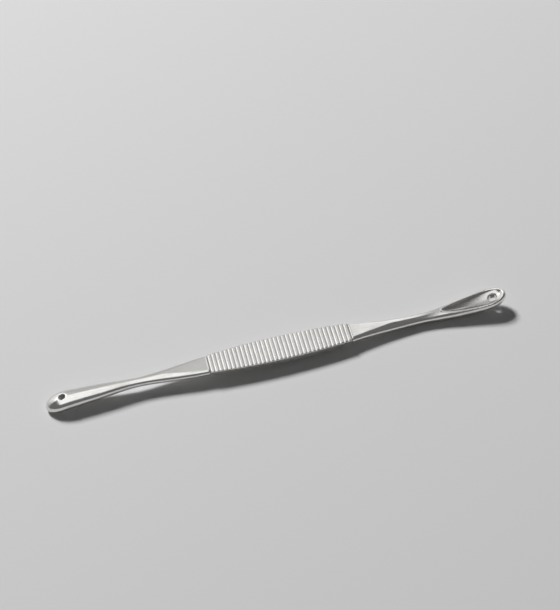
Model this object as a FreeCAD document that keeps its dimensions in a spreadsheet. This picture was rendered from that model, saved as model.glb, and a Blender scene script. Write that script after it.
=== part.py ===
import FreeCAD, Part
import collections
import math
import os
import Sketcher

# Double-ended blackhead extractor
# Local frame while modelling: X along the tool, Y across it, Z through its thickness,
# with the grip's middle at the origin. The wide scoop points along +X, hollow side up.
# The fine scoop is the same form turned half a turn about Y, so its hollow faces down.
# At the end the tool is laid on its two contact points, with the table at Z = 0.

doc = FreeCAD.newDocument("blackhead_extractor")

# Driving sizes, in millimetres, and counts

SIZES = [
    ("grip_length", 36.6, "ribbed grip, end face to end face"),
    ("grip_width", 7.33, "across the middle of the grip"),
    ("grip_end_width", 5.5, "across each end of the grip"),
    ("grip_thickness", 1.9, "over the rib crests"),
    ("side_round", 0.3, "rounding along the grip's long edges"),
    ("groove_count", 35, "grooves on each face"),
    ("rib_pitch", 1.07, "from groove to groove"),
    ("rib_land", 0.25, "flat crest of a rib"),
    ("groove_depth", 0.25, "from crest to valley"),
    ("shoulder_length", 18.7, "from the grip to the thinnest part of the neck"),
    ("shoulder_depth", 3.3, "thickness of the shoulder before its flats are ground"),
    ("facet_length", 15.0, "how far the ground flats run out along the shoulder"),
    ("facet_rise", 0.15, "height of a flat's plane above the neck at the end of its run"),
    ("scoop_length", 17.0, "from the start of the rim's rise to the tip"),
    ("scoop_depth", 4.3, "height of the scoop's blank at its widest"),
    ("scoop_lift", 1.25, "rise of the blank's centre at its widest"),
    ("nose_lift", 1.0, "further rise of the blank's centre at the tip"),
    ("hollow_depth", 1.3, "deepest part of the hollow below the rim"),
    ("hollow_flare", 0.2, "height above the rim at which the hollow's cutter is widest"),
    ("tang_length", 6.0, "tang inside the grip"),
    ("tang_width", 2.6, "across the tang"),
    ("tang_thickness", 0.5, "through the tang"),
    ("tang_clearance", 0.02, "round the tang and beyond its end"),
    ("overrun", 1.0, "how far a cutter passes the surface that it cuts"),
    ("settling_mesh", 0.01, "fineness of the mesh that finds where the tool touches the table"),
]

# Sizes that differ between the two ends: the wide scoop's, then the fine scoop's

END_SIZES = [
    ("reach", 59.4, 60.1, "from the grip's middle to the tip"),
    ("shoulder_width", 3.8, 4.5, "across the shoulder part of the way along"),
    ("neck_diameter", 2.7, 2.45, "round neck at its thinnest"),
    ("neck_shift", -0.65, 0.3, "neck's axis from the middle plane, towards the hollow side"),
    ("scoop_width", 5.6, 5.25, "widest place of the scoop's blank"),
    ("nose_length", 4.6, 4.2, "from the widest place to the tip"),
    ("rim_height", 1.2, 1.35, "rim above the middle plane where its rise starts"),
    ("rim_rise", 2.2, 2.15, "rise of the rim from there to the tip"),
    ("hollow_width", 4.3, 3.7, "widest place of the hollow"),
    ("hole_diameter", 2.05, 1.65, "hole near the tip"),
    ("hole_inset", 3.55, 4.85, "hole's centre from the tip"),
]
for name, wide, fine, note in END_SIZES:
    SIZES.append((f"wide_{name}", wide, note))
    SIZES.append((f"fine_{name}", fine, note))

sheet = doc.addObject("Spreadsheet::Sheet", "sizes")
for row, (alias, value, note) in enumerate(SIZES, start=1):
    sheet.set(f"A{row}", alias)
    sheet.set(f"B{row}", str(value))
    sheet.set(f"C{row}", note)
    sheet.setAlias(f"B{row}", alias)
doc.recompute()

# Shares that shape one end: how far along a stretch, then how far each size has changed by there

SHOULDER_SHARES = [0.38, 0.68]
SHOULDER_WIDTH_SHARES = [1.0, 0.36]
SHOULDER_DEPTH_SHARES = [0.5, 0.2]
SHOULDER_SHIFT_SHARES = [0.6, 0.95]
FLARE_SHARES = [0.29, 0.51, 0.8, 1.0]
FLARE_WIDTH_SHARES = [0.28, 0.58, 0.88, 1.0]
FLARE_DEPTH_SHARES = [0.33, 0.62, 0.98, 1.0]
FLARE_LIFT_SHARES = [0.12, 0.32, 0.66, 1.0]
NOSE_ANGLES = [20, 40, 60, 75, 90]
HOLLOW_SHARES = [0.0, 0.13, 0.3, 0.5, 0.7, 0.8, 0.88, 0.925, 0.945]
HOLLOW_WIDTH_SHARES = [0.16, 0.42, 0.67, 0.87, 1.0, 0.95, 0.75, 0.45, 0.0]
HOLLOW_DEPTH_SHARES = [0.3, 0.75, 1.0, 1.0, 0.88, 0.75, 0.55, 0.3, 0.0]

# Places that several pieces share, as the sheet's own formulas

GRIP_END = "sizes.grip_length / 2"
CREST = "sizes.grip_thickness / 2"


def rim_start(kind):
    return f"(sizes.{kind}_reach - sizes.scoop_length)"


def rim_radius(kind):
    return f"((sizes.scoop_length ^ 2 / sizes.{kind}_rim_rise + sizes.{kind}_rim_rise) / 2)"


ORIGIN = FreeCAD.Vector(0, 0, 0)
EDGE_MATCH = 1e-6


def bind(thing, **expressions):
    """Ties properties of a document object to the sheet; a double underscore stands for a dot."""
    for name, expression in expressions.items():
        thing.setExpression(name.replace("__", "."), expression)


def plane(body, role):
    """One of a body's own origin planes or axes."""
    return next(feature for feature in body.Origin.OriginFeatures if feature.Role == role)


def sketch_on(body, role, name):
    sketch = body.newObject("Sketcher::SketchObject", name)
    sketch.AttachmentSupport = (plane(body, role), "")
    sketch.MapMode = "FlatFace"
    return sketch


def dimension(sketch, name, expression, *constraint):
    """Adds a sketch dimension, names it and ties it to the sheet."""
    index = sketch.addConstraint(Sketcher.Constraint(*constraint))
    sketch.renameConstraint(index, name)
    sketch.setExpression(f"Constraints.{name}", expression)


def relate(sketch, *constraint):
    sketch.addConstraint(Sketcher.Constraint(*constraint))


# Ribbed grip

def grip_outline(body):
    """Plan of the grip: straight ends and bowed sides."""
    half_length = sheet.grip_length / 2
    half_end = sheet.grip_end_width / 2
    half_middle = sheet.grip_width / 2
    corner = {
        (sx, sy): FreeCAD.Vector(sx * half_length, sy * half_end, 0) for sx in (-1, 1) for sy in (-1, 1)
    }
    far_middle = FreeCAD.Vector(0, half_middle, 0)
    near_middle = FreeCAD.Vector(0, -half_middle, 0)
    sketch = sketch_on(body, "XY_Plane", "grip_outline")
    right = sketch.addGeometry(Part.LineSegment(corner[1, -1], corner[1, 1]))
    far = sketch.addGeometry(Part.Arc(corner[1, 1], far_middle, corner[-1, 1]))
    left = sketch.addGeometry(Part.LineSegment(corner[-1, 1], corner[-1, -1]))
    near = sketch.addGeometry(Part.Arc(corner[-1, -1], near_middle, corner[1, -1]))
    sides = [right, far, left, near]
    for this, following in zip(sides, sides[1:] + sides[:1]):
        relate(sketch, "Coincident", this, 2, following, 1)
    relate(sketch, "Symmetric", right, 1, right, 2, -1)
    relate(sketch, "Symmetric", right, 1, left, 2, -2)
    relate(sketch, "Symmetric", right, 2, left, 1, -2)
    relate(sketch, "Equal", far, near)
    bow = "((sizes.grip_width - sizes.grip_end_width) / 2)"
    bow_radius = f"(sizes.grip_length ^ 2 / 4 / {bow} + {bow}) / 2"
    start_radius = sketch.Geometry[far].Radius
    dimension(sketch, "length", "sizes.grip_length", "DistanceX", left, 2, right, 1, 2 * half_length)
    dimension(sketch, "end_width", "sizes.grip_end_width", "DistanceY", right, 1, right, 2, 2 * half_end)
    dimension(sketch, "bow_radius", bow_radius, "Radius", far, start_radius)
    bind(sketch, AttachmentOffset__Base__z=f"-{CREST}")
    return sketch


def groove_row(body, name, turn):
    """Grooves across one face: each falls from two rib crests in round flanks to a sharp valley."""
    half_gap = (sheet.rib_pitch - sheet.rib_land) / 2
    depth = sheet.groove_depth
    crest = sheet.grip_thickness / 2
    above = crest + sheet.overrun
    flank_radius = (half_gap ** 2 + depth ** 2) / (2 * depth)
    flank_share = (half_gap / flank_radius) / 2
    valley = FreeCAD.Vector(0, crest - depth, 0)
    edge = {side: FreeCAD.Vector(side * half_gap, crest, 0) for side in (-1, 1)}
    over = {side: FreeCAD.Vector(side * half_gap, above, 0) for side in (-1, 1)}
    drop = flank_radius - (flank_radius ** 2 - (half_gap * flank_share) ** 2) ** 0.5
    on_flank = {
        side: FreeCAD.Vector(side * half_gap * (1 - flank_share), crest - drop, 0) for side in (-1, 1)
    }
    sketch = sketch_on(body, "XZ_Plane", name + "_profile")
    left_flank = sketch.addGeometry(Part.Arc(valley, on_flank[-1], edge[-1]))
    right_flank = sketch.addGeometry(Part.Arc(edge[1], on_flank[1], valley))
    right_wall = sketch.addGeometry(Part.LineSegment(edge[1], over[1]))
    lid = sketch.addGeometry(Part.LineSegment(over[1], over[-1]))
    left_wall = sketch.addGeometry(Part.LineSegment(over[-1], edge[-1]))
    relate(sketch, "Coincident", left_flank, 1, right_flank, 2)
    relate(sketch, "Coincident", right_flank, 1, right_wall, 1)
    relate(sketch, "Coincident", right_wall, 2, lid, 1)
    relate(sketch, "Coincident", lid, 2, left_wall, 1)
    relate(sketch, "Coincident", left_wall, 2, left_flank, 2)
    relate(sketch, "PointOnObject", left_flank, 1, -2)
    relate(sketch, "Symmetric", left_flank, 2, right_flank, 1, -2)
    relate(sketch, "Horizontal", lid)
    relate(sketch, "Vertical", right_wall)
    relate(sketch, "Vertical", left_wall)
    relate(sketch, "Vertical", left_flank, 3, left_flank, 2)
    relate(sketch, "Equal", left_flank, right_flank)
    gap = "sizes.rib_pitch - sizes.rib_land"
    dimension(sketch, "gap", gap, "DistanceX", left_flank, 2, right_flank, 1, 2 * half_gap)
    dimension(sketch, "depth", "sizes.groove_depth", "DistanceY", left_flank, 1, left_flank, 2, depth)
    dimension(sketch, "crest", CREST, "DistanceY", -1, 1, left_flank, 2, crest)
    dimension(sketch, "above", "sizes.overrun", "DistanceY", right_wall, 1, right_wall, 2, above - crest)
    sketch.AttachmentOffset = FreeCAD.Placement(ORIGIN, FreeCAD.Rotation(FreeCAD.Vector(0, 0, 1), turn))
    row_length = "(sizes.groove_count - 1) * sizes.rib_pitch"
    bind(sketch, AttachmentOffset__Base__x=f"-{row_length} / 2")
    pocket = body.newObject("PartDesign::Pocket", name + "_first")
    pocket.Profile = sketch
    pocket.Type = "ThroughAll"
    pocket.Midplane = True
    doc.recompute()
    row = body.newObject("PartDesign::LinearPattern", name)
    row.Originals = [pocket]
    row.Direction = (plane(body, "X_Axis"), [""])
    bind(row, Length=row_length, Occurrences="sizes.groove_count")
    body.Tip = row
    doc.recompute()
    return row


def tang_slots(body):
    """A blind slot in each end of the grip, which takes the tang of a working end."""
    half_width = sheet.tang_width / 2 + sheet.tang_clearance
    half_thickness = sheet.tang_thickness / 2 + sheet.tang_clearance
    corners = [
        FreeCAD.Vector(sx * half_width, sy * half_thickness, 0)
        for sx, sy in ((-1, -1), (1, -1), (1, 1), (-1, 1))
    ]
    sketch = sketch_on(body, "YZ_Plane", "slot_mouth")
    sides = [
        sketch.addGeometry(Part.LineSegment(start, end))
        for start, end in zip(corners, corners[1:] + corners[:1])
    ]
    for this, following in zip(sides, sides[1:] + sides[:1]):
        relate(sketch, "Coincident", this, 2, following, 1)
    bottom, right, top, left = sides
    relate(sketch, "Horizontal", bottom)
    relate(sketch, "Horizontal", top)
    relate(sketch, "Vertical", right)
    relate(sketch, "Vertical", left)
    relate(sketch, "Symmetric", bottom, 1, right, 2, -1, 1)
    width = "sizes.tang_width + 2 * sizes.tang_clearance"
    thickness = "sizes.tang_thickness + 2 * sizes.tang_clearance"
    dimension(sketch, "width", width, "DistanceX", bottom, 1, bottom, 2, 2 * half_width)
    dimension(sketch, "thickness", thickness, "DistanceY", right, 1, right, 2, 2 * half_thickness)
    bind(sketch, AttachmentOffset__Base__z=GRIP_END)
    slot = body.newObject("PartDesign::Pocket", "tang_slot")
    slot.Profile = sketch
    slot.Type = "Length"
    bind(slot, Length="sizes.tang_length + sizes.tang_clearance")
    doc.recompute()
    both = body.newObject("PartDesign::Mirrored", "tang_slots")
    both.Originals = [slot]
    both.MirrorPlane = (plane(body, "YZ_Plane"), [""])
    body.Tip = both
    doc.recompute()
    return both


def ribbed_grip():
    body = doc.addObject("PartDesign::Body", "ribbed_grip")
    body.Label = "ribbed_grip"
    bar = body.newObject("PartDesign::Pad", "grip_bar")
    bar.Profile = grip_outline(body)
    bind(bar, Length="sizes.grip_thickness")
    doc.recompute()
    bowed = [
        f"Edge{number}" for number, edge in enumerate(bar.Shape.Edges, start=1)
        if edge.Curve.TypeId == "Part::GeomCircle"
    ]
    rounded = body.newObject("PartDesign::Fillet", "rounded_sides")
    rounded.Base = (bar, bowed)
    bind(rounded, Radius="sizes.side_round")
    doc.recompute()
    before = rounded.Shape.Volume
    for name, turn in (("upper_grooves", 0), ("lower_grooves", 180)):
        after = groove_row(body, name, turn).Shape.Volume
        print(f"{name}: {before - after:.2f} mm3 cut away")
        before = after
    after = tang_slots(body).Shape.Volume
    print(f"tang slots: {before - after:.2f} mm3 cut away")
    return body


# Working ends

Station = collections.namedtuple("Station", "place half_width half_height height")
QUARTER_WEIGHT = math.sqrt(0.5)


def size(kind, name):
    return sheet.get(f"{kind}_{name}")


def between(start, end, share):
    return start + (end - start) * share


def half_skin(stations, side):
    """Upper (side 1) or lower (side -1) half of a smooth oval tube through the stations."""
    steps = [math.dist(a[:2] + a[3:], b[:2] + b[3:]) for a, b in zip(stations, stations[1:])]
    parameters = [sum(steps[:count]) for count in range(len(stations))]
    corners = [(1, 0), (1, side), (0, side), (-1, side), (-1, 0)]
    rows = []
    for across, up in corners:
        points = [
            FreeCAD.Vector(s.place, across * s.half_width, s.height + up * s.half_height) for s in stations
        ]
        row = Part.BSplineCurve()
        row.interpolate(Points=points, Parameters=parameters)
        rows.append(row)
    row_weights = [1, QUARTER_WEIGHT, 1, QUARTER_WEIGHT, 1]
    poles = [list(ring) for ring in zip(*[row.getPoles() for row in rows])]
    weights = [row_weights for ring in poles]
    skin = Part.BSplineSurface()
    skin.buildFromPolesMultsKnots(
        poles, rows[0].getMultiplicities(), [3, 2, 3], rows[0].getKnots(), [0, 1, 2],
        False, False, rows[0].Degree, 2, weights)
    return skin.toShape()


def oval_tube(name, stations):
    """A solid with a flat oval at its first station, elliptical sections and a closed tip."""
    first = stations[0]
    upper = half_skin(stations, 1)
    lower = half_skin(stations, -1)
    rim = [edge for face in (upper, lower) for edge in face.Edges
           if all(abs(vertex.X - first.place) < EDGE_MATCH for vertex in edge.Vertexes)]
    shell = Part.Shell([upper, lower, Part.Face(Part.Wire(Part.__sortEdges__(rim)))])
    shell.sewShape()
    solid = Part.Solid(shell)
    if solid.Volume < 0:
        solid.reverse()
    tube = doc.addObject("Part::Feature", name)
    tube.Shape = solid
    return tube


def end_blank(kind):
    """The forged blank: flat oval at the grip, round at the neck, swelling into a rounded scoop."""
    grip_end = sheet.grip_length / 2
    neck = grip_end + sheet.shoulder_length
    widest = size(kind, "reach") - size(kind, "nose_length")
    neck_half = size(kind, "neck_diameter") / 2
    shift = size(kind, "neck_shift")
    stations = [Station(grip_end, sheet.grip_end_width / 2, sheet.shoulder_depth / 2, 0)]
    for along, wide, deep, moved in zip(
            SHOULDER_SHARES, SHOULDER_WIDTH_SHARES, SHOULDER_DEPTH_SHARES, SHOULDER_SHIFT_SHARES):
        stations.append(Station(
            between(grip_end, neck, along),
            between(neck_half, size(kind, "shoulder_width") / 2, wide),
            between(neck_half, sheet.shoulder_depth / 2, deep),
            shift * moved))
    stations.append(Station(neck, neck_half, neck_half, shift))
    for along, wide, deep, lift in zip(
            FLARE_SHARES, FLARE_WIDTH_SHARES, FLARE_DEPTH_SHARES, FLARE_LIFT_SHARES):
        stations.append(Station(
            between(neck, widest, along),
            between(neck_half, size(kind, "scoop_width") / 2, wide),
            between(neck_half, sheet.scoop_depth / 2, deep),
            between(shift, sheet.scoop_lift, lift)))
    for angle in NOSE_ANGLES:
        shrunk = math.cos(math.radians(angle))
        onward = math.sin(math.radians(angle))
        stations.append(Station(
            widest + size(kind, "nose_length") * onward,
            size(kind, "scoop_width") / 2 * shrunk,
            sheet.scoop_depth / 2 * shrunk,
            sheet.scoop_lift + sheet.nose_lift * onward))
    return oval_tube(f"{kind}_blank", stations)


def shoulder_flat(kind, side, neck_edge):
    """Cutter for one flat, which starts level with the rib crests and runs out before the neck."""
    cutter = doc.addObject("Part::Box", f"{kind}_{side}_flat")
    cutter.Placement = FreeCAD.Placement(ORIGIN, FreeCAD.Rotation(FreeCAD.Vector(0, -1, 0), 1))
    slope = f"atan(({neck_edge} + sizes.facet_rise - {CREST}) / sizes.facet_length)"
    bind(cutter, Length="sizes.shoulder_length + sizes.overrun")
    bind(cutter, Width="sizes.grip_width", Height="sizes.shoulder_depth")
    bind(cutter, Placement__Rotation__Angle=slope)
    bind(cutter, Placement__Base__x=f"{GRIP_END} - sizes.overrun * cos({slope})")
    bind(cutter, Placement__Base__y="-sizes.grip_width / 2")
    bind(cutter, Placement__Base__z=f"{CREST} - sizes.overrun * sin({slope})")
    return cutter


def shoulder_flats(kind):
    neck_half = f"sizes.{kind}_neck_diameter / 2"
    upper = shoulder_flat(kind, "hollow_side", f"{neck_half} + sizes.{kind}_neck_shift")
    mirrored = shoulder_flat(kind, "back_side", f"{neck_half} - sizes.{kind}_neck_shift")
    lower = doc.addObject("Part::Mirroring", f"{kind}_back_flat")
    lower.Source = mirrored
    lower.Normal = FreeCAD.Vector(0, 0, 1)
    return [upper, lower]


def rim_cutter(kind):
    """A large cylinder lying across the tool: its surface is the gentle upward curve of the rim."""
    cutter = doc.addObject("Part::Cylinder", f"{kind}_rim_curve")
    cutter.Placement = FreeCAD.Placement(ORIGIN, FreeCAD.Rotation(FreeCAD.Vector(1, 0, 0), -90))
    bind(cutter, Radius=rim_radius(kind), Height=f"2 * sizes.{kind}_scoop_width")
    bind(cutter, Placement__Base__x=rim_start(kind), Placement__Base__y=f"-sizes.{kind}_scoop_width")
    bind(cutter, Placement__Base__z=f"sizes.{kind}_rim_height + {rim_radius(kind)}")
    return cutter


def hollow_cutter(kind, rim):
    """The ground hollow: oval sections hung from the rim's curve, from a narrow start to the nose."""
    doc.recompute()
    centre = rim.Placement.Base
    stations = []
    for along, wide, deep in zip(HOLLOW_SHARES, HOLLOW_WIDTH_SHARES, HOLLOW_DEPTH_SHARES):
        run = sheet.scoop_length * along
        height = centre.z - math.sqrt(rim.Radius.Value ** 2 - run ** 2) + sheet.hollow_flare
        half_height = (sheet.hollow_depth + sheet.hollow_flare) * deep
        stations.append(Station(centre.x + run, size(kind, "hollow_width") / 2 * wide, half_height, height))
    return oval_tube(f"{kind}_hollow", stations)


def hole_cutter(kind):
    """The drilled hole near the tip, square to the rim's curve."""
    drill = doc.addObject("Part::Cylinder", f"{kind}_hole")
    drill.Placement = FreeCAD.Placement(ORIGIN, FreeCAD.Rotation(FreeCAD.Vector(0, -1, 0), 1))
    run = f"(sizes.scoop_length - sizes.{kind}_hole_inset)"
    lean = f"asin({run} / {rim_radius(kind)})"
    reach = "(sizes.scoop_depth + sizes.overrun)"
    bind(drill, Radius=f"sizes.{kind}_hole_diameter / 2", Height=f"2 * {reach}")
    bind(drill, Placement__Rotation__Angle=lean)
    bind(drill, Placement__Base__x=f"{rim_start(kind)} + {run} + {reach} * sin({lean})")
    bind(drill, Placement__Base__z=f"sizes.{kind}_rim_height - {reach} * cos({lean})")
    return drill


def tang(kind):
    """Flat tongue that sits in the grip's slot; its root is buried in the shoulder."""
    tongue = doc.addObject("Part::Box", f"{kind}_tang")
    bind(tongue, Length="sizes.tang_length + sizes.overrun", Width="sizes.tang_width")
    bind(tongue, Height="sizes.tang_thickness")
    bind(tongue, Placement__Base__x=f"{GRIP_END} - sizes.tang_length")
    bind(tongue, Placement__Base__y="-sizes.tang_width / 2")
    bind(tongue, Placement__Base__z="-sizes.tang_thickness / 2")
    return tongue


def scoop_end(kind):
    shape = end_blank(kind)
    rim = rim_cutter(kind)
    cutters = [hole_cutter(kind), rim, hollow_cutter(kind, rim)] + shoulder_flats(kind)
    for cutter in cutters:
        cut = doc.addObject("Part::Cut", f"{cutter.Name}_cut")
        cut.Base = shape
        cut.Tool = cutter
        shape = cut
        doc.recompute()
        print(f"{cutter.Name}: {cut.Base.Shape.Volume - cut.Shape.Volume:.2f} mm3 cut away")
    whole = doc.addObject("Part::Fuse", f"{kind}_scoop_end")
    whole.Base = shape
    whole.Tool = tang(kind)
    whole.Label = f"{kind}_scoop_end"
    doc.recompute()
    return whole


grip = ribbed_grip()
wide_end = scoop_end("wide")
fine_end = scoop_end("fine")
subparts = [grip, wide_end, fine_end]

# Lay the tool on the table, tip to tip about the origin: the fine scoop's rim and the
# wide scoop's belly touch it

HALF_TURN = FreeCAD.Placement(ORIGIN, FreeCAD.Rotation(FreeCAD.Vector(0, 1, 0), 180))
SETTLING_STEPS = 6


def extent(thing):
    """Lowest and highest X, Y and Z of a piece, from points all over its surface."""
    points, triangles = thing.Shape.tessellate(sheet.settling_mesh)
    return [(min(values), max(values)) for values in zip(*points)]


lean = 0.0
centring = 0.0
lift = 0.0
for step in range(SETTLING_STEPS):
    turn = FreeCAD.Rotation(FreeCAD.Vector(0, 1, 0), math.degrees(lean))
    rest = FreeCAD.Placement(FreeCAD.Vector(centring, 0, lift), turn)
    grip.Placement = rest
    wide_end.Placement = rest
    fine_end.Placement = rest.multiply(HALF_TURN)
    wide_x, wide_y, wide_z = extent(wide_end)
    fine_x, fine_y, fine_z = extent(fine_end)
    centring -= (max(wide_x) + min(fine_x)) / 2
    lift -= (min(wide_z) + min(fine_z)) / 2
    lean += (min(wide_z) - min(fine_z)) / (sheet.wide_reach + sheet.fine_reach)
doc.recompute()
print(f"rests with its wide end {math.degrees(lean):.3f} degrees down")
print(f"grip's middle at X {centring:.3f} and Z {lift:.3f}")

# Checks, then one file for each piece

for thing in doc.Objects:
    if "Invalid" in thing.State or "Error" in thing.State:
        raise RuntimeError(f"{thing.Name} failed: {thing.State}")
for thing in subparts:
    if thing.Shape.isNull() or not thing.Shape.isValid() or len(thing.Shape.Solids) != 1:
        raise RuntimeError(f"{thing.Label} isn't one valid solid")

os.makedirs("parts", exist_ok=True)
for thing in subparts:
    spans = ", ".join(f"{low:.3f} to {high:.3f}" for low, high in extent(thing))
    print(f"{thing.Label}: {thing.Shape.Volume:.1f} mm3, {spans}")
    thing.Shape.exportStep(f"parts/{thing.Label}.step")
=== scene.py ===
# %% [markdown]
# A blackhead extractor is a slim steel hand tool: a flat ribbed grip, two tapering necks, and a small
# teardrop scoop with a hole at each tip. The solids come packed from the CAD step and set every size.
# This lesson keeps them as a fixed frame, rounds their edges as polishing does, gives the steel its
# finish, and sets up the table, the light and the camera.

# %% Load the imported solids
import math

import bmesh
import bpy
from mathutils import Matrix, Vector


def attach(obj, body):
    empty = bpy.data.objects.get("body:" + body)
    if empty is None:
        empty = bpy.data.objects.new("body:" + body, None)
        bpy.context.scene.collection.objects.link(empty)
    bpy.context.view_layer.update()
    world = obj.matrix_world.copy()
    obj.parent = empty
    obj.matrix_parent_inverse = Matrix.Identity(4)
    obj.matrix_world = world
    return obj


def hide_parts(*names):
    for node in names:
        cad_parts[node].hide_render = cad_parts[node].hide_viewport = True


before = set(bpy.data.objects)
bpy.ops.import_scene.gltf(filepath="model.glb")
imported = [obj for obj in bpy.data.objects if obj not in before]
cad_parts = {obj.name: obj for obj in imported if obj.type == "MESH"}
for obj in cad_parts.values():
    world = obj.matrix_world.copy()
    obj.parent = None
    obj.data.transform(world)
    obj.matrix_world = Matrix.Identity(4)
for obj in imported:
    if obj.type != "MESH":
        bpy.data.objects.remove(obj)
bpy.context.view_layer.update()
MM = 0.001
print("solids:", sorted(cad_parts))

# %% [markdown]
# The tool rests on the bellies of its scoops, so it leans a little along its length. Some finishes belong
# to places on the tool, such as the hollow of a scoop, and those are easiest to say in the tool's own frame,
# with the middle of the grip at the origin. A scoop end's frame points along +X with its hollow up, and the
# fine end is turned half round. The lean and the grip's height are the ones that the CAD step settled on.

# %% The tool's own frame
TOOL_LEAN = math.radians(0.717)
GRIP_MIDDLE = Vector((0.350, 0, 2.564)) * MM
TO_GRIP = Matrix.Rotation(-TOOL_LEAN, 4, "Y") @ Matrix.Translation(-GRIP_MIDDLE)
TO_WIDE_END = TO_GRIP
TO_FINE_END = Matrix.Rotation(math.pi, 4, "Y") @ TO_GRIP

# %% [markdown]
# Stamped and ground steel never has knife edges: tumbling and polishing round every rim, rib and hole by a
# few tenths of a millimetre, and those rounded edges are what catch the light. A bevel would be the usual
# way, but it has trouble on the long thin triangles of a CAD mesh. So each solid is copied, its loose
# triangles are merged, and the copy gets an even skin of small squares that can be smoothed. An edge that
# runs nearly along the grid of squares would show steps, so the copy is turned while its skin is made.

# %% An even skin of squares
MERGE_GAP = 0.001 * MM


def merged_copy(node, name):
    """A copy of a solid, as a piece of its own, whose triangles share their corners."""
    merged = bmesh.new()
    merged.from_mesh(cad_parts[node].data)
    bmesh.ops.remove_doubles(merged, verts=merged.verts, dist=MERGE_GAP)
    mesh = bpy.data.meshes.new(name)
    merged.to_mesh(mesh)
    merged.free()
    piece = bpy.data.objects.new(name, mesh)
    bpy.context.scene.collection.objects.link(piece)
    return piece


def even_skin(piece, grid_turn, square):
    """Replaces the piece's mesh by an even skin, made while the piece is turned, and turns it back."""
    triangles = piece.data
    triangles.transform(grid_turn)
    skin = piece.modifiers.new("even_skin", "REMESH")
    skin.mode = "VOXEL"
    skin.voxel_size = square
    skin.adaptivity = 0
    graph = bpy.context.evaluated_depsgraph_get()
    piece.data = bpy.data.meshes.new_from_object(piece.evaluated_get(graph))
    piece.modifiers.clear()
    bpy.data.meshes.remove(triangles)
    piece.data.name = piece.name
    piece.data.transform(grid_turn.inverted())


print("triangles to merge:", sum(len(solid.data.polygons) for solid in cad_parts.values()))

# %% [markdown]
# Rounds of smoothing then take the edges off. The ends get many, which round the rims of the scoops and
# even out what the grid leaves on them, and they are turned askew to the grid. The ribs of the grip are
# small, so they get few. The grip is turned level, with a whole number of squares to a rib, so that all the
# ribs come out alike.

# %% Round the edges
SMOOTHING = 0.5
SCOOP_SQUARE = 0.1 * MM
SCOOP_ROUNDS = 26
ASKEW = Matrix.Rotation(math.radians(32), 4, "Z") @ Matrix.Rotation(math.radians(27), 4, "Y")
RIB_PITCH = 1.07 * MM
SQUARES_TO_A_RIB = 11
RIB_SQUARE = RIB_PITCH / SQUARES_TO_A_RIB
RIB_ROUNDS = 3
LEVEL = Matrix.Rotation(-TOOL_LEAN, 4, "Y")


def polished_copy(node, name, grid_turn, square, rounds):
    """A copy of a solid with its edges rounded off, which stands for that solid."""
    piece = merged_copy(node, name)
    even_skin(piece, grid_turn, square)
    smoothed = bmesh.new()
    smoothed.from_mesh(piece.data)
    for smoothing_round in range(rounds):
        bmesh.ops.smooth_vert(smoothed, verts=smoothed.verts, factor=SMOOTHING,
                              use_axis_x=True, use_axis_y=True, use_axis_z=True)
    for face in smoothed.faces:
        face.smooth = True
    smoothed.to_mesh(piece.data)
    smoothed.free()
    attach(piece, "root")
    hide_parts(node)
    print(f"{name}: {len(piece.data.polygons)} faces")
    return piece


grip = polished_copy("ribbed_grip", "grip_with_ribs", LEVEL, RIB_SQUARE, RIB_ROUNDS)
wide_scoop = polished_copy("wide_scoop_end", "wide_scoop", ASKEW, SCOOP_SQUARE, SCOOP_ROUNDS)
fine_scoop = polished_copy("fine_scoop_end", "fine_scoop", ASKEW, SCOOP_SQUARE, SCOOP_ROUNDS)

# %% [markdown]
# A polishing wheel doesn't reach everywhere. The grooves between the ribs are too narrow for it and stay
# rougher, and their colour is painted darker too, which is painted shade in the grooves. The shader has to
# know where such places are. A painted picture could say it, but the places follow from the shape, so each
# point of a mesh gets a value from 0 to 1 in an attribute that the finish reads. On the grip, the value grows
# with the depth below the rib crests, so the painted shade is deepest at the bottom of a groove, and it falls
# to 0 on the side walls, which the wheel does reach. A point is on a side wall when enough of its normal
# points sideways.

# %% Mark the grooves
RIB_CREST = 0.95 * MM
GROOVE_DEPTH = 0.25 * MM
SIDE_WALL_NORMAL = 0.6


def mark_dull_and_shaded(piece, values):
    # The attribute says, from 0 to 1, where the steel is duller and where its colour gets painted shade.
    dull_and_shaded = piece.data.attributes.new("dull_and_shaded", "FLOAT", "POINT")
    dull_and_shaded.data.foreach_set("value", values)
    print(f"{piece.name}: {sum(values) / len(values):.3f} of its points are missed by the polishing")


def share(value, full):
    """How far a value has come from 0 to its full size, as a number from 0 to 1."""
    return min(1, max(0, value / full))


def mark_grooves(piece):
    values = []
    for vertex in piece.data.vertices:
        # The deeper below the crests, the more painted shade in the groove.
        below = share(RIB_CREST - abs((TO_GRIP @ vertex.co).z), GROOVE_DEPTH)
        on_a_face = 1 - share(abs(vertex.normal.y), SIDE_WALL_NORMAL)
        values.append(on_a_face * below)
    mark_dull_and_shaded(piece, values)


mark_grooves(grip)

# %% [markdown]
# The hollow of a scoop is ground out with a small wheel after the outside is polished, so it is duller and
# shows that wheel's lines, and its colour is painted darker, which is painted shade in the hollow. A point is
# in the hollow when it lies inside the hollow's plan and below the curve of the rim, and its surface faces up.
# The plan and the curve are those of the CAD solids, less the rounded edge of the rim, which is polished, and
# the mark starts softly there. The plan's pairs are a share of the scoop's length and the width there, as a
# share of the greatest. Towards the tip the hollow is shallow, and most of the dullness and the painted shade
# fade out there.

# %% Mark the hollows
SCOOP_LENGTH = 17.0 * MM
HOLLOW_PLAN = [(0.0, 0.12), (0.13, 0.4), (0.3, 0.65), (0.5, 0.85),
               (0.7, 0.98), (0.8, 0.94), (0.9, 0.72), (0.96, 0.1)]
RIM_EDGE = 0.1 * MM
MASK_EDGE = 0.15 * MM
FACING_UP = 0.25
SHALLOW_FROM = 0.5
SHALLOW_BY = 0.85
TIP_FADE = 0.7


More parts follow.
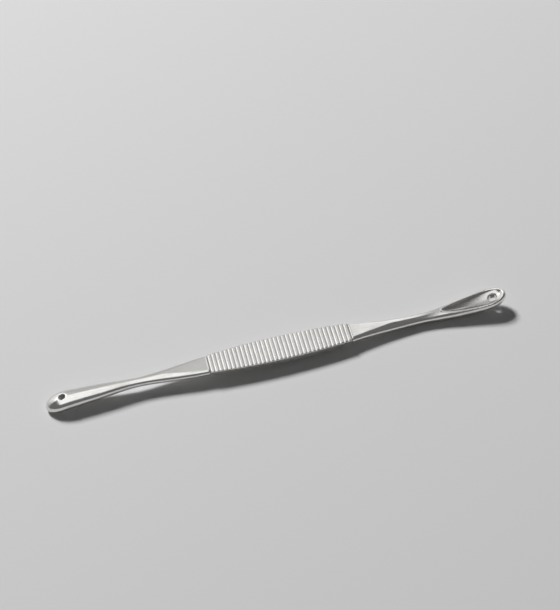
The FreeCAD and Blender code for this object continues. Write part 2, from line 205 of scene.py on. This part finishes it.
def plan_share(along):
    """Width of the hollow at a share of the scoop's length, as a share of its greatest width."""
    for (start, low), (end, high) in zip(HOLLOW_PLAN, HOLLOW_PLAN[1:]):
        if start <= along <= end:
            return low + (high - low) * (along - start) / (end - start)
    return 0


def mark_hollow(piece, to_end, reach, rim_height, rim_rise, hollow_width):
    radius = (SCOOP_LENGTH ** 2 / rim_rise + rim_rise) / 2
    values = []
    for vertex in piece.data.vertices:
        place = to_end @ vertex.co
        facing = (to_end.to_3x3() @ vertex.normal).z
        run = place.x - (reach - SCOOP_LENGTH)
        along = run / SCOOP_LENGTH
        rim = rim_height + radius - math.sqrt(max(radius ** 2 - run ** 2, 0))
        inside = share(plan_share(along) * hollow_width / 2 - abs(place.y), MASK_EDGE)
        below = share(rim - RIM_EDGE - place.z, MASK_EDGE)
        upward = share(facing, FACING_UP)
        # The painted shade and the dullness fade out towards the shallow tip.
        faded_at_tip = TIP_FADE * share(along - SHALLOW_FROM, SHALLOW_BY - SHALLOW_FROM)
        values.append(inside * below * upward * (1 - faded_at_tip))
    mark_dull_and_shaded(piece, values)


mark_hollow(wide_scoop, TO_WIDE_END, reach=59.4 * MM,
            rim_height=1.2 * MM, rim_rise=2.2 * MM, hollow_width=4.3 * MM)
mark_hollow(fine_scoop, TO_FINE_END, reach=60.1 * MM,
            rim_height=1.35 * MM, rim_rise=2.15 * MM, hollow_width=3.7 * MM)

# %% [markdown]
# Steel has next to no colour of its own, so its look is nearly all reflection, and its character is in
# how that reflection is broken up. Polishing leaves fine lines that run with the work: along the necks
# and scoops, and across the grip where the ribs were cut. A scratched picture would need a UV map. Noise
# stretched along one axis needs none, and never repeats. Both finishes use these lines, so they are a node
# group that is built once.

# %% Polishing lines
def add_node(tree, kind, sockets=None, **settings):
    """Adds a shader node, with its settings, and its sockets given as values or as links."""
    made = tree.nodes.new("ShaderNode" + kind)
    for name, value in settings.items():
        setattr(made, name, value)
    for socket, value in (sockets or {}).items():
        if isinstance(value, bpy.types.NodeSocket):
            tree.links.new(value, made.inputs[socket])
        else:
            made.inputs[socket].default_value = value
    return made


def new_group(name, input_name, input_kind, output_name):
    """A node group that turns one input into one value, with its two end nodes."""
    group = bpy.data.node_groups.new(name, "ShaderNodeTree")
    group.interface.new_socket(input_name, in_out="INPUT", socket_type="NodeSocket" + input_kind)
    group.interface.new_socket(output_name, in_out="OUTPUT", socket_type="NodeSocketFloat")
    return group, group.nodes.new("NodeGroupInput"), group.nodes.new("NodeGroupOutput")


polishing_lines, lines_in, lines_out = new_group("polishing_lines", "Repeats", "Vector", "Lines")
place = add_node(polishing_lines, "TexCoord").outputs["Object"]
stretched = add_node(polishing_lines, "VectorMath", {0: place, 1: lines_in.outputs["Repeats"]},
                     operation="MULTIPLY").outputs[0]
noise = add_node(polishing_lines, "TexNoise", {"Vector": stretched, "Scale": 1.0, "Detail": 3.0, "Roughness": 0.6})
polishing_lines.links.new(noise.outputs["Fac"], lines_out.inputs["Lines"])
print("polishing lines:", len(polishing_lines.nodes), "nodes")

# %% [markdown]
# Handling and cleaning leave faint cloudy patches a few millimetres across, a little duller than the steel
# round them. They are a second group, of plain noise whose size is given in metres.

# %% Handling marks
def calculate(tree, operation, first, second=0.0):
    return add_node(tree, "Math", {0: first, 1: second}, operation=operation).outputs[0]


handling_marks, marks_in, marks_out = new_group("handling_marks", "Size", "Float", "Marks")
place = add_node(handling_marks, "TexCoord").outputs["Object"]
repeats = calculate(handling_marks, "DIVIDE", 1.0, marks_in.outputs["Size"])
noise = add_node(handling_marks, "TexNoise", {"Vector": place, "Scale": repeats, "Detail": 4.0, "Roughness": 0.55})
handling_marks.links.new(noise.outputs["Fac"], marks_out.inputs["Marks"])
print("handling marks:", len(handling_marks.nodes), "nodes")

# %% [markdown]
# A finish is put together by blending: one value or colour gives way to another where a mask says so. Three
# small helpers do that. A fade makes a mask from any value, and it is a smooth step, because a straight one
# would show where it starts and ends. A Mix node's sockets are numbered here, since its values and its
# colours have sockets of the same name.

# %% Fades and mixes
def fade(tree, value, start, end, low=0.0, high=1.0):
    """A soft step from low to high while the value goes from start to end."""
    return add_node(tree, "MapRange", {"Value": value, "From Min": start, "From Max": end,
                                       "To Min": low, "To Max": high},
                    interpolation_type="SMOOTHSTEP").outputs["Result"]


def mix_values(tree, mask, first, second):
    return add_node(tree, "Mix", {0: mask, 2: first, 3: second}, data_type="FLOAT").outputs[0]


def mix_colours(tree, mask, first, second):
    return add_node(tree, "Mix", {0: mask, 6: first, 7: second}, data_type="RGBA").outputs[2]


print("ways to blend:", fade.__name__, mix_values.__name__, mix_colours.__name__)

# %% [markdown]
# Both finishes are built the same way. Lines and marks together say how worn a place is, and wear makes the
# steel a little rougher and greyer. Where the wheel doesn't reach, it is rougher still and shows deeper lines,
# and its colour is painted darker, which is painted shade in the grooves and the hollows. The lines also tip
# the normal, which is what makes a brushed sheen. An anisotropic shader would give the sheen alone, without
# lines that can be seen from close by.

# %% How a steel finish is built
MARK_SIZE = 4 * MM
MARKS_IN_WEAR = 0.4
UNWORN, WORN = 0.3, 0.7
PALE_STEEL = (0.83, 0.82, 0.80, 1)
WORN_STEEL = (0.76, 0.75, 0.73, 1)
SIDE_FROM, SIDE_BY = 0.5, 0.8
DULL_ROUGHNESS = 0.08
LINE_HEIGHT = 0.004 * MM
LINE_STRENGTH = 0.35
DEEPER_WHERE_MISSED = 3.0


def use_group(tree, group, value):
    placed = tree.nodes.new("ShaderNodeGroup")
    placed.node_tree = group
    placed.inputs[0].default_value = value
    return placed.outputs[0]


def steel(name, face_lines, side_lines, smooth, rough, shade_colour):
    """A steel with lines of its own on its faces and sides, whose roughness runs from smooth to rough."""
    material = bpy.data.materials.new(name)
    material.use_nodes = True
    tree = material.node_tree
    shader = tree.nodes["Principled BSDF"]
    shader.inputs["Metallic"].default_value = 1
    normal = add_node(tree, "SeparateXYZ", {0: add_node(tree, "TexCoord").outputs["Normal"]})
    sideways = fade(tree, calculate(tree, "ABSOLUTE", normal.outputs["Y"]), SIDE_FROM, SIDE_BY)
    lines = mix_values(tree, sideways, use_group(tree, polishing_lines, face_lines),
                       use_group(tree, polishing_lines, side_lines))
    marks = use_group(tree, handling_marks, MARK_SIZE)
    dull_and_shaded = add_node(tree, "Attribute", attribute_name="dull_and_shaded").outputs["Fac"]
    worn = mix_values(tree, MARKS_IN_WEAR, lines, marks)
    roughness = fade(tree, worn, UNWORN, WORN, smooth, rough)
    duller = calculate(tree, "ADD", roughness, calculate(tree, "MULTIPLY", dull_and_shaded, DULL_ROUGHNESS))
    tree.links.new(duller, shader.inputs["Roughness"])
    tint = mix_colours(tree, fade(tree, worn, UNWORN, WORN), PALE_STEEL, WORN_STEEL)
    # Painted shade: the colour is darkened towards the given shade colour where the attribute is high.
    tree.links.new(mix_colours(tree, dull_and_shaded, tint, shade_colour), shader.inputs["Base Color"])
    depth = calculate(tree, "ADD", 1.0, calculate(tree, "MULTIPLY", dull_and_shaded, DEEPER_WHERE_MISSED))
    bump = add_node(tree, "Bump", {"Height": calculate(tree, "MULTIPLY", lines, depth),
                                   "Strength": LINE_STRENGTH, "Distance": LINE_HEIGHT})
    tree.links.new(bump.outputs["Normal"], shader.inputs["Normal"])
    print(f"{name}: {len(tree.nodes)} nodes")
    return material


# %% [markdown]
# The scoops and necks are polished along their length to a soft mirror. The grip is satin: its faces keep
# the cutter's lines, which run across it with the ribs, and its sides are drawn along. The numbers are how
# often the noise repeats in a metre along X, Y and Z, so a line is about a seventh of a millimetre wide.

# %% The two finishes
ALONG = (160, 7000, 7000)
ACROSS = (9000, 300, 9000)
# The colours of the painted shade in the hollows of the scoops and in the grooves of the grip.
HOLLOW_SHADE_COLOUR = (0.60, 0.59, 0.58, 1)
GROOVE_SHADE_COLOUR = (0.36, 0.35, 0.34, 1)

polished_finish = steel("polished_finish", ALONG, ALONG, smooth=0.13, rough=0.26, shade_colour=HOLLOW_SHADE_COLOUR)
ribbed_finish = steel("ribbed_finish", ACROSS, ALONG, smooth=0.2, rough=0.34, shade_colour=GROOVE_SHADE_COLOUR)
for piece, finish, slot in (
        (grip, ribbed_finish, "ribbed_steel"),
        (wide_scoop, polished_finish, "polished_steel"),
        (fine_scoop, polished_finish, "polished_steel")):
    piece.data.materials.clear()
    piece.data.materials.append(finish)
    print(f"{piece.name}: {finish.name} in slot {slot}")

# %% [markdown]
# The table is a plain pale sheet. It takes the shadow and is what the undersides of the steel mirror. One
# big square is enough: its edges lie far outside the picture, and the paint is dull, so nothing shows in it.

# %% Table
TABLE_SIZE = 4
TABLE_COLOUR = (0.8, 0.8, 0.8, 1)
TABLE_ROUGHNESS = 0.9
TABLE_SPECULAR = 0.2

table_sheet = bmesh.new()
bmesh.ops.create_grid(table_sheet, x_segments=1, y_segments=1, size=TABLE_SIZE / 2)
table_mesh = bpy.data.meshes.new("table")
table_sheet.to_mesh(table_mesh)
table_sheet.free()
table = bpy.data.objects.new("table", table_mesh)
bpy.context.scene.collection.objects.link(table)
table_paint = bpy.data.materials.new("table_paint")
table_paint.use_nodes = True
paint = table_paint.node_tree.nodes["Principled BSDF"]
paint.inputs["Base Color"].default_value = TABLE_COLOUR
paint.inputs["Roughness"].default_value = TABLE_ROUGHNESS
paint.inputs["Specular IOR Level"].default_value = TABLE_SPECULAR
table.data.materials.append(table_paint)
print("table:", TABLE_SIZE, "m square")

# %% [markdown]
# Polished steel shows the room, so the room has to be there: a soft light close overhead, a pale screen
# behind, and dim walls elsewhere. A photograph of a studio could fill the world, but a few nodes do as well
# and say what they hold. The world has the screen and the walls, in two measures of a direction. One angle
# runs from behind (negative) over the top (zero) to the front (positive), and a second number from -1 to 1
# runs from left to right.

# %% Directions in the room
world = bpy.data.worlds.new("studio")
bpy.context.scene.world = world
world.use_nodes = True
room = world.node_tree
direction = add_node(room, "SeparateXYZ", {0: add_node(room, "TexCoord").outputs["Generated"]})
across = direction.outputs["X"]
forward = calculate(room, "MULTIPLY", direction.outputs["Y"], -1.0)
over = calculate(room, "ARCTAN2", forward, direction.outputs["Z"])
print("world:", world.name)

# %% [markdown]
# The screen behind isn't lit evenly. It has a darker stretch in the middle, which the flat shoulder of the
# fine end mirrors, and a bright one right of it, which the other shoulder mirrors. Each pair below is a place
# from left to right and the brightness there, and a colour ramp blends them. The screen's top edge is soft.

# %% Screen behind
SCREEN_FULL_TO = math.radians(-33)
SCREEN_GONE_BY = math.radians(-25)
SCREEN_BRIGHTNESS = [(-1.0, 0.25), (-0.6, 0.8), (-0.3, 0.85), (-0.12, 0.36), (0.085, 0.36),
                     (0.15, 0.9), (0.25, 0.95), (0.42, 0.55), (0.6, 0.4), (1.0, 0.35)]

ramp_place = add_node(room, "MapRange", {"Value": across, "From Min": -1.0, "From Max": 1.0}).outputs["Result"]
screen = add_node(room, "ValToRGB", {"Fac": ramp_place})
stops = screen.color_ramp.elements
screen.color_ramp.interpolation = "EASE"
for position, brightness in SCREEN_BRIGHTNESS[1:-1]:
    stops.new((position + 1) / 2)
for stop, (position, brightness) in zip(stops, SCREEN_BRIGHTNESS):
    stop.position = (position + 1) / 2
    stop.color = (brightness, brightness, brightness, 1)
behind = fade(room, over, SCREEN_FULL_TO, SCREEN_GONE_BY, 1.0, 0.0)
lit_screen = calculate(room, "MULTIPLY", behind, screen.outputs["Color"])
print("screen:", len(stops), "stops")

# %% [markdown]
# Only mirror-like rays see the screen and the dim walls. All else gets a faint even fill, so that the lamp
# makes a clear shadow.

# %% Put the room together
DIM_WALLS = 0.14
FILL = 0.07

mirrored = calculate(room, "ADD", lit_screen, DIM_WALLS)
is_mirrored = add_node(room, "LightPath").outputs["Is Glossy Ray"]
background = room.nodes["Background"]
background.inputs["Color"].default_value = (1, 1, 1, 1)
room.links.new(mix_values(room, is_mirrored, FILL, mirrored), background.inputs["Strength"])
print("room:", len(room.nodes), "nodes")

# %% [markdown]
# The overhead light is a sheet of diffuser close above the tool, with a wing farther back on the left. In the
# world it would be endlessly far off, and both ends of the tool would see it in the same direction. A lamp
# can be close: this one stands over the fine end and well to the left of the wide end, whose neck mirrors
# the dim wall beside it. It is only there to be mirrored, so it gives the table no light.

# %% Overhead diffuser
DIFFUSER_HEIGHT = 0.39
DIFFUSER_STRENGTH = 1.0


def diffuser(name, left, right, front, back):
    """A level sheet of light between the given edges, which only reflections show."""
    sheet = bpy.data.lights.new(name, "AREA")
    sheet.shape = "RECTANGLE"
    sheet.size = right - left
    sheet.size_y = back - front
    sheet.energy = DIFFUSER_STRENGTH * math.pi * sheet.size * sheet.size_y
    holder = bpy.data.objects.new(name, sheet)
    bpy.context.scene.collection.objects.link(holder)
    holder.location = ((left + right) / 2, (front + back) / 2, DIFFUSER_HEIGHT)
    holder.visible_camera = False
    holder.visible_diffuse = False
    holder.visible_transmission = False
    print(f"{name}: {sheet.size:.2f} x {sheet.size_y:.2f} m")


diffuser("diffuser", left=-0.35, right=0.028, front=-0.38, back=0.216)
diffuser("diffuser_wing", left=-0.5, right=-0.14, front=0.216, back=0.43)

# %% [markdown]
# The photograph has a short shadow along the near side, so the lamp stands behind and to the left. A sun
# would light the table evenly but with a hard shadow, so it is a square softbox, far enough off to be nearly
# as even. The steel already mirrors the room, so the lamp itself is hidden from reflections.

# %% Lamp
LAMP_PLACE = Vector((-0.4, 1.1, 1.1))
LAMP_SIZE = 0.35
LAMP_POWER = 25

softbox = bpy.data.lights.new("softbox", "AREA")
softbox.shape = "SQUARE"
softbox.size = LAMP_SIZE
softbox.energy = LAMP_POWER
lamp = bpy.data.objects.new("softbox", softbox)
bpy.context.scene.collection.objects.link(lamp)
lamp.location = LAMP_PLACE
lamp.rotation_euler = LAMP_PLACE.to_track_quat("Z", "Y").to_euler()
lamp.visible_glossy = False
print("lamp:", round(LAMP_PLACE.length, 2), "m from the tool")

# %% [markdown]
# The camera stands where the photograph was taken: above the table and a little left of straight on,
# with a slight roll. Its lens is long, so the far parts hardly shrink with distance. The angles and the
# offset were fitted to the tool's outline in the photograph.

# %% Camera
ELEVATION = math.radians(53)
AZIMUTH = math.radians(-10)
ROLL = math.radians(4.6)
TARGET = Vector((0.362, 0, 3.514)) * MM
CAMERA_OFFSET = Vector((0.126, 10.6, 432)) * MM
SENSOR_HEIGHT = 36
FOCAL_LENGTH = 101.5
CLIP_START = 0.01

turn = (Matrix.Rotation(TOOL_LEAN, 4, "Y") @ Matrix.Rotation(AZIMUTH, 4, "Z")
        @ Matrix.Rotation(math.pi / 2 - ELEVATION, 4, "X") @ Matrix.Rotation(-ROLL, 4, "Z"))
lens = bpy.data.cameras.new("camera")
lens.sensor_fit = "VERTICAL"
lens.sensor_height = SENSOR_HEIGHT
lens.lens = FOCAL_LENGTH
lens.clip_start = CLIP_START
camera = bpy.data.objects.new("camera", lens)
bpy.context.scene.collection.objects.link(camera)
camera.matrix_world = Matrix.Translation(TARGET + turn.to_3x3() @ CAMERA_OFFSET) @ turn
bpy.context.scene.camera = camera
bpy.context.scene.view_settings.view_transform = "Standard"
print("camera:", [round(value, 3) for value in camera.matrix_world.translation])
